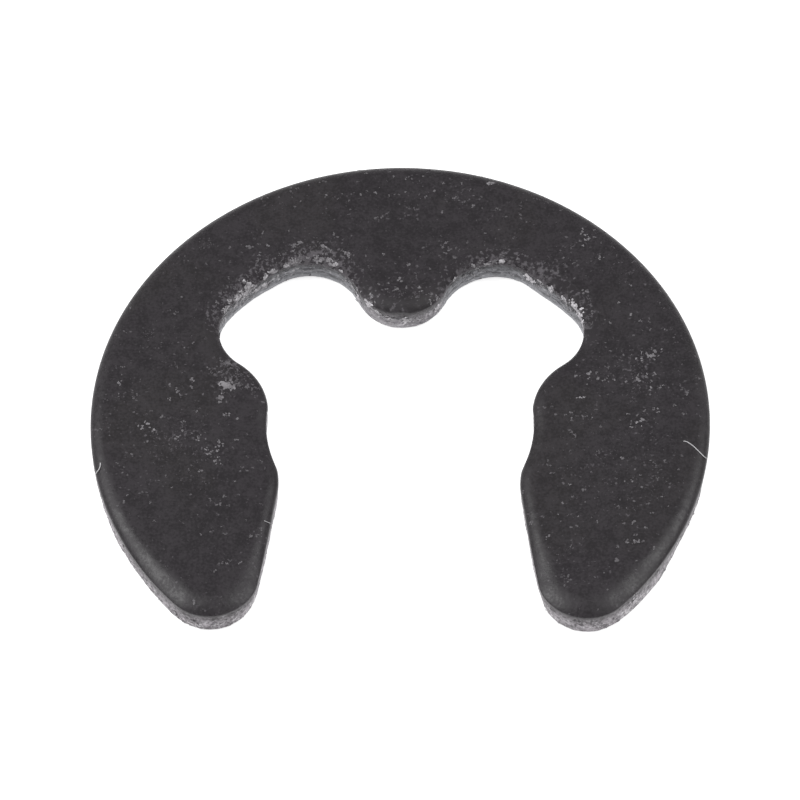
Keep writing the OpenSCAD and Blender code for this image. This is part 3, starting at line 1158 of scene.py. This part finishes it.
def dust_fall(seed):
    """Fine dust over the whole face: clumps of grains, some alone and some in huddles."""
    rng = np.random.default_rng(seed)
    low = RING.min(axis=0)
    high = RING.max(axis=0)
    single = rng.uniform(low, high, (SINGLE_CLUMPS, 2))
    huddles = np.repeat(rng.uniform(low, high, (HUDDLES, 2)), HUDDLE_CLUMPS, axis=0)
    heads = np.vstack([single, huddles + rng.normal(0, HUDDLE_SCATTER, huddles.shape)])
    size = np.clip(FINE_SIZE * np.exp(rng.normal(0, FINE_SPREAD, len(heads))), *FINE_LIMITS)
    light = (0.18 + 0.22 * ramp(size, 0.014, 0.050)) * rng.uniform(0.8, 1.2, len(heads))
    return laid_down(*clumps(rng, heads, size, light, CLUMP_OF_FALL))


def dust_drifts(seed):
    """Grains of the trails: smears, rows, hazes and loose strays."""
    rng = np.random.default_rng(seed)
    heads = []
    size = []
    light = []
    for start, end, spread, count, middling, lightness in trails.values():
        along = rng.uniform(0, 1, (count, 1))
        line = np.array(start) + (np.array(end) - np.array(start)) * along
        heads.append(line + rng.normal(0, spread, (count, 2)))
        size.append(middling * np.exp(rng.normal(0, DRIFT_SPREAD, count)))
        light.append(np.full(count, lightness))
    size = np.concatenate(size)
    return laid_down(*clumps(rng, np.vstack(heads), size, np.concatenate(light), CLUMP_OF_DRIFT))


def nearest_station(place):
    return int(np.argmin(((RING - np.array(place)) ** 2).sum(axis=1)))


def dust_on_edge(seed):
    """Clumps of grains caught on the roll, the sheared band and the broken wall."""
    rng = np.random.default_rng(seed)
    gathered = []
    for start, end, middle, spread, count, middling, lightness in edge_drifts.values():
        heads = max(1, count // 2)
        first = nearest_station(start)
        along = first + (nearest_station(end) - first) * rng.uniform(0, 1, heads)
        gathered.append((along, middle + rng.normal(0, spread, heads), middling, lightness))
    for place, middle, reach, count, middling, lightness in edge_spots.values():
        along = nearest_station(place) + rng.normal(0, reach, count) / STATION_STEP
        gathered.append((along, middle + rng.normal(0, reach, count), middling, lightness))
    stations = []
    across = []
    size = []
    light = []
    for along, over, middling, lightness in gathered:
        heads = len(along)
        grain = np.minimum(middling * np.exp(rng.normal(0, DRIFT_SPREAD, heads)), LARGEST_ON_EDGE)
        step = rng.normal(0, 0.4, (2, heads, CLUMP_OF_DRIFT)) * grain[:, None]
        stations.append((along[:, None] + step[0] / STATION_STEP).ravel())
        across.append((over[:, None] + step[1]).ravel())
        size.append((grain[:, None] * rng.uniform(0.55, 1.0, (heads, CLUMP_OF_DRIFT))).ravel())
        light.append(np.repeat(lightness * rng.uniform(0.75, 1.15, heads), CLUMP_OF_DRIFT))
    points, normals = on_edge(np.concatenate(stations), np.concatenate(across))
    points[:, 1] = np.maximum(points[:, 1], cad_low[1] / MM + GRAIN_MARGIN)
    return points, normals, np.concatenate(size), np.concatenate(light)


def grain_points(name, points, normals, size, light, seed):
    """A mesh of loose points that carries each grain's size, lie and shade."""
    rng = np.random.default_rng(seed)
    mesh = new_mesh(name, points)
    carry(mesh, "size", size * MM)
    carry(mesh, "lie", normals)
    carry(mesh, "shade", 0.58 * light**2 * rng.uniform(0.8, 1.2, len(points)))
    return mesh


dust = dust_material()
grains = grain_tree()
for name, lying, seed in (
    ("dust_fall", dust_fall(21), 31),
    ("dust_drifts", dust_drifts(22), 32),
    ("dust_on_edge", dust_on_edge(23), 33),
):
    piece = new_piece(name, grain_points(name, *lying, seed))
    worked(piece, grains, {"Seed": seed, "Material": dust})
    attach(piece, "root")


def lint_material():
    material, tree, shader, where = new_material("cotton_lint")
    colour = blended(tree, mottle(tree, where, 0.05 * MM), tone(178, 176, 178), tone(216, 215, 217))
    fill(tree, shader, {"Base Color": colour, "Roughness": 0.7})
    return material


FIBRE_SIDES = 6
FIBRE_STEPS = 40


def fibre(path, radius):
    """Points and faces of a closed tube along a smooth path, pinched at both ends."""
    path = np.array(path)
    curve = []
    for s in np.linspace(0, len(path) - 1, FIBRE_STEPS):
        i = min(int(s), len(path) - 2)
        t = s - i
        before, a, b, after = path[[max(i - 1, 0), i, i + 1, min(i + 2, len(path) - 1)]]
        bend = 2 * before - 5 * a + 4 * b - after
        sway = 3 * a - before - 3 * b + after
        curve.append(0.5 * (2 * a + (b - before) * t + bend * t**2 + sway * t**3))
    curve = np.array(curve)
    along = np.gradient(curve, axis=0)
    along /= np.linalg.norm(along, axis=1)[:, None]
    side = np.cross(along, UPWARD)
    side /= np.linalg.norm(side, axis=1)[:, None]
    over = np.cross(side, along)
    points = []
    faces = []
    for i, centre in enumerate(curve):
        taper = radius * min(1.0, 0.35 + min(i, FIBRE_STEPS - 1 - i) * 0.3)
        for k in range(FIBRE_SIDES):
            turn = math.tau * k / FIBRE_SIDES
            points.append(centre + taper * (side[i] * math.cos(turn) + over[i] * math.sin(turn)))
    for here in range(0, len(points) - FIBRE_SIDES, FIBRE_SIDES):
        ahead = here + FIBRE_SIDES
        for k in range(FIBRE_SIDES):
            j = (k + 1) % FIBRE_SIDES
            faces.append((ahead + k, ahead + j, here + j, here + k))
    faces.append(tuple(range(FIBRE_SIDES)))
    faces.append(tuple(reversed(range(len(points) - FIBRE_SIDES, len(points)))))
    return points, faces


# Fibres of lint: the points that each lies along, and its radius
lint_paths = {
    "right rim": (
        [
            (5.01, -0.43, 0.604),
            (5.08, -0.45, 0.604),
            (5.18, -0.53, 0.603),
            (5.28, -0.64, 0.597),
            (5.37, -0.73, 0.570),
            (5.42, -0.75, 0.535),
        ],
        0.009,
    ),
    "left rim": (
        [
            (-5.28, -0.93, 0.586),
            (-5.28, -1.00, 0.582),
            (-5.30, -1.06, 0.574),
            (-5.33, -1.10, 0.556),
            (-5.36, -1.13, 0.520),
        ],
        0.010,
    ),
    "left lip": ([(-2.36, -2.13, 0.584), (-2.31, -2.14, 0.562), (-2.25, -2.15, 0.525)], 0.006),
}


def lint_mesh():
    points = []
    faces = []
    for path, radius in lint_paths.values():
        fibre_points, fibre_faces = fibre(path, radius)
        faces += [tuple(i + len(points) for i in f) for f in fibre_faces]
        points += fibre_points
    return new_mesh("lint", points, faces)


lint_piece = new_piece("lint", lint_mesh())
lint_piece.data.materials.append(lint_material())
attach(lint_piece, "root")

# ---------------------------------------------------------------- floor, light and camera

FLOOR_R = 800
FLOOR_DROP = 0.01
FLOOR_SIDES = 96
FLOOR_GLOW = 0.62


def pale_floor():
    """Pale and matt, with a glow of its own that the camera and mirror-like surfaces see."""
    material = bpy.data.materials.new("pale_table")
    material.use_nodes = True
    tree = material.node_tree
    shader = tree.nodes["Principled BSDF"]
    matt = {"Base Color": (0.9, 0.9, 0.9, 1), "Roughness": 0.9, "Specular IOR Level": 0.0}
    fill(tree, shader.inputs, matt)
    rays = node(tree, "ShaderNodeLightPath").outputs
    seen = plus(tree, rays["Is Camera Ray"], rays["Is Glossy Ray"])
    seen = plus(tree, seen, rays["Is Transmission Ray"], clamp=True)
    shining = {"Color": (1, 1, 1, 1), "Strength": times(tree, seen, FLOOR_GLOW)}
    glow = output(tree, "ShaderNodeEmission", shining)
    both = output(tree, "ShaderNodeAddShader", {0: shader.outputs[0], 1: glow})
    fill(tree, tree.nodes["Material Output"].inputs, {"Surface": both})
    return material


def floor_mesh():
    turns = [math.tau * i / FLOOR_SIDES for i in range(FLOOR_SIDES)]
    rim = [(FLOOR_R * math.cos(turn), FLOOR_R * math.sin(turn), -FLOOR_DROP) for turn in turns]
    return new_mesh("floor", rim, [tuple(range(FLOOR_SIDES))], smooth=False)


floor = new_piece("floor", floor_mesh())
floor.data.materials.append(pale_floor())

world = bpy.data.worlds.new("studio")
world.use_nodes = True
sky = world.node_tree
fill(sky, sky.nodes["Background"].inputs, {"Color": (1, 1, 1, 1), "Strength": 0.45})
bpy.context.scene.world = world


def way_to(azimuth, elevation):
    """The way from the clip to a lamp or the camera. Azimuth 0 is towards -Y and 90 towards +X."""
    a = math.radians(azimuth)
    e = math.radians(elevation)
    return Vector((math.sin(a) * math.cos(e), -math.cos(a) * math.cos(e), math.sin(e)))


SOFTBOX_SIDE = 0.16
SOFTBOX_DISTANCE = 0.3
SOFTBOX_ELEVATION = 53


def softbox(name, azimuth, watts):
    """A square of soft light aimed at the clip."""
    light = bpy.data.lights.new(name, "AREA")
    light.shape = "RECTANGLE"
    light.size = SOFTBOX_SIDE
    light.size_y = SOFTBOX_SIDE
    light.energy = watts
    lamp = new_piece(name, light)
    way = way_to(azimuth, SOFTBOX_ELEVATION)
    lamp.location = way * SOFTBOX_DISTANCE
    lamp.rotation_euler = way.to_track_quat("Z", "Y").to_euler()
    lamp.visible_camera = False


softbox("left_softbox", -100, 0.46)
softbox("right_softbox", 100, 0.30)

VIEW_AZIMUTH = 1.353
VIEW_ELEVATION = 56.476
VIEW_ROLL = -0.876
VIEW_DISTANCE = 99 * MM
PICTURE_SIDE = 800
SEAT_AXIS_ACROSS = 0.285
SEAT_AXIS_DOWN = 38.343

camera_data = bpy.data.cameras.new("camera")
camera_data.sensor_width = 36
camera_data.lens = 250.015
camera_data.shift_x = -SEAT_AXIS_ACROSS / PICTURE_SIDE
camera_data.shift_y = SEAT_AXIS_DOWN / PICTURE_SIDE
camera_data.clip_start = 0.001
camera_data.clip_end = 10
camera = new_piece("camera", camera_data)
back = way_to(VIEW_AZIMUTH, VIEW_ELEVATION)
right = (-back).cross(Vector(UPWARD)).normalized()
up = right.cross(-back)
lean = math.radians(VIEW_ROLL)
across = right * math.cos(lean) + up * math.sin(lean)
upright = -right * math.sin(lean) + up * math.cos(lean)
pose = Matrix((across, upright, back)).transposed().to_4x4()
pose.translation = back * VIEW_DISTANCE
camera.matrix_world = pose
bpy.context.scene.camera = camera
bpy.context.scene.view_settings.view_transform = "Standard"
